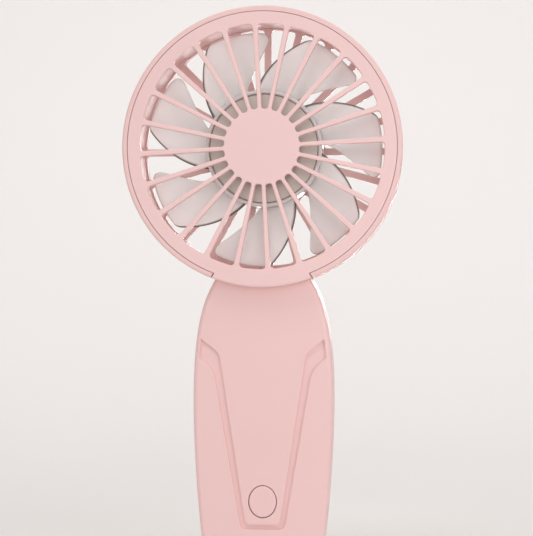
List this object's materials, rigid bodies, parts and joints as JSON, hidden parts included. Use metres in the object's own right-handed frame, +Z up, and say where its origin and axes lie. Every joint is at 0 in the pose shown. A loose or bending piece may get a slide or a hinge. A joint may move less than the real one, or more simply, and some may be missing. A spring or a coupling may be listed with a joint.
{
  "type": "handheld electric fan",
  "caption": "Pocket fan with a round caged head, a bladed impeller on a small motor, and a flat-based grip holding a battery, power button and charging socket.",
  "frame": {"origin": "on the surface that the flat base stands on, straight below the middle of the head", "axes": "+Z up through the grip and the head, -Y the way the air leaves and the button faces, +X to the right of someone facing the button"},
  "size_m": [0.09, 0.028, 0.188],
  "materials": {
    "shell_pink": "satin",
    "grille_pink": "satin",
    "impeller_white": "gloss",
    "rotor_steel": "satin",
    "ferrite": "matte",
    "shaft_steel": "polished",
    "motor_brass": "machined",
    "bush_bronze": "sintered",
    "core_steel": "laminated",
    "coil_copper": "enamelled",
    "circuit_board": "solder mask",
    "chip_black": "matte",
    "screw_steel": "plated",
    "switch_metal": "plated",
    "socket_steel": "plated",
    "battery_foil": "satin foil",
    "foam": "foam",
    "wire_red": "satin",
    "wire_black": "satin"
  },
  "bodies": {
    "housing": {"front_grille": "grille_pink", "head_housing": "shell_pink", "rear_grille": "grille_pink", "motor_base": "motor_brass", "front_bush": "bush_bronze", "rear_bush": "bush_bronze", "stator_core": "core_steel", "stator_coils": "coil_copper", "motor_board": "circuit_board", "motor_board_chips": "chip_black", "motor_screws": "screw_steel", "motor_lead_positive": "wire_red", "motor_lead_negative": "wire_black", "handle_front": "shell_pink", "handle_rear": "shell_pink", "handle_screws": "screw_steel", "switch_body": "switch_metal", "control_board": "circuit_board", "board_chips": "chip_black", "board_screws": "screw_steel", "usb_shell": "socket_steel", "usb_tongue": "chip_black", "battery_cell": "battery_foil", "protection_board": "circuit_board", "battery_pad": "foam", "battery_lead_positive": "wire_red", "battery_lead_negative": "wire_black"},
    "rotor": {"impeller": "impeller_white", "rotor_cup": "rotor_steel", "magnet_ring": "ferrite", "motor_shaft": "shaft_steel", "shaft_clip": "shaft_steel"},
    "button": {"power_button": "shell_pink", "switch_stem": "chip_black"}
  },
  "joints": [
    {"name": "impeller_spin", "type": "hinge", "parent": "housing", "child": "rotor", "pos_m": [0, 0, 0.143], "axis": [0, 1, 0], "continuous": true},
    {"name": "button_press", "type": "slide", "parent": "housing", "child": "button", "axis": [0, 1, 0], "range_m": [0, 0.0005], "stiffness_N_per_m": 1500}
  ]
}
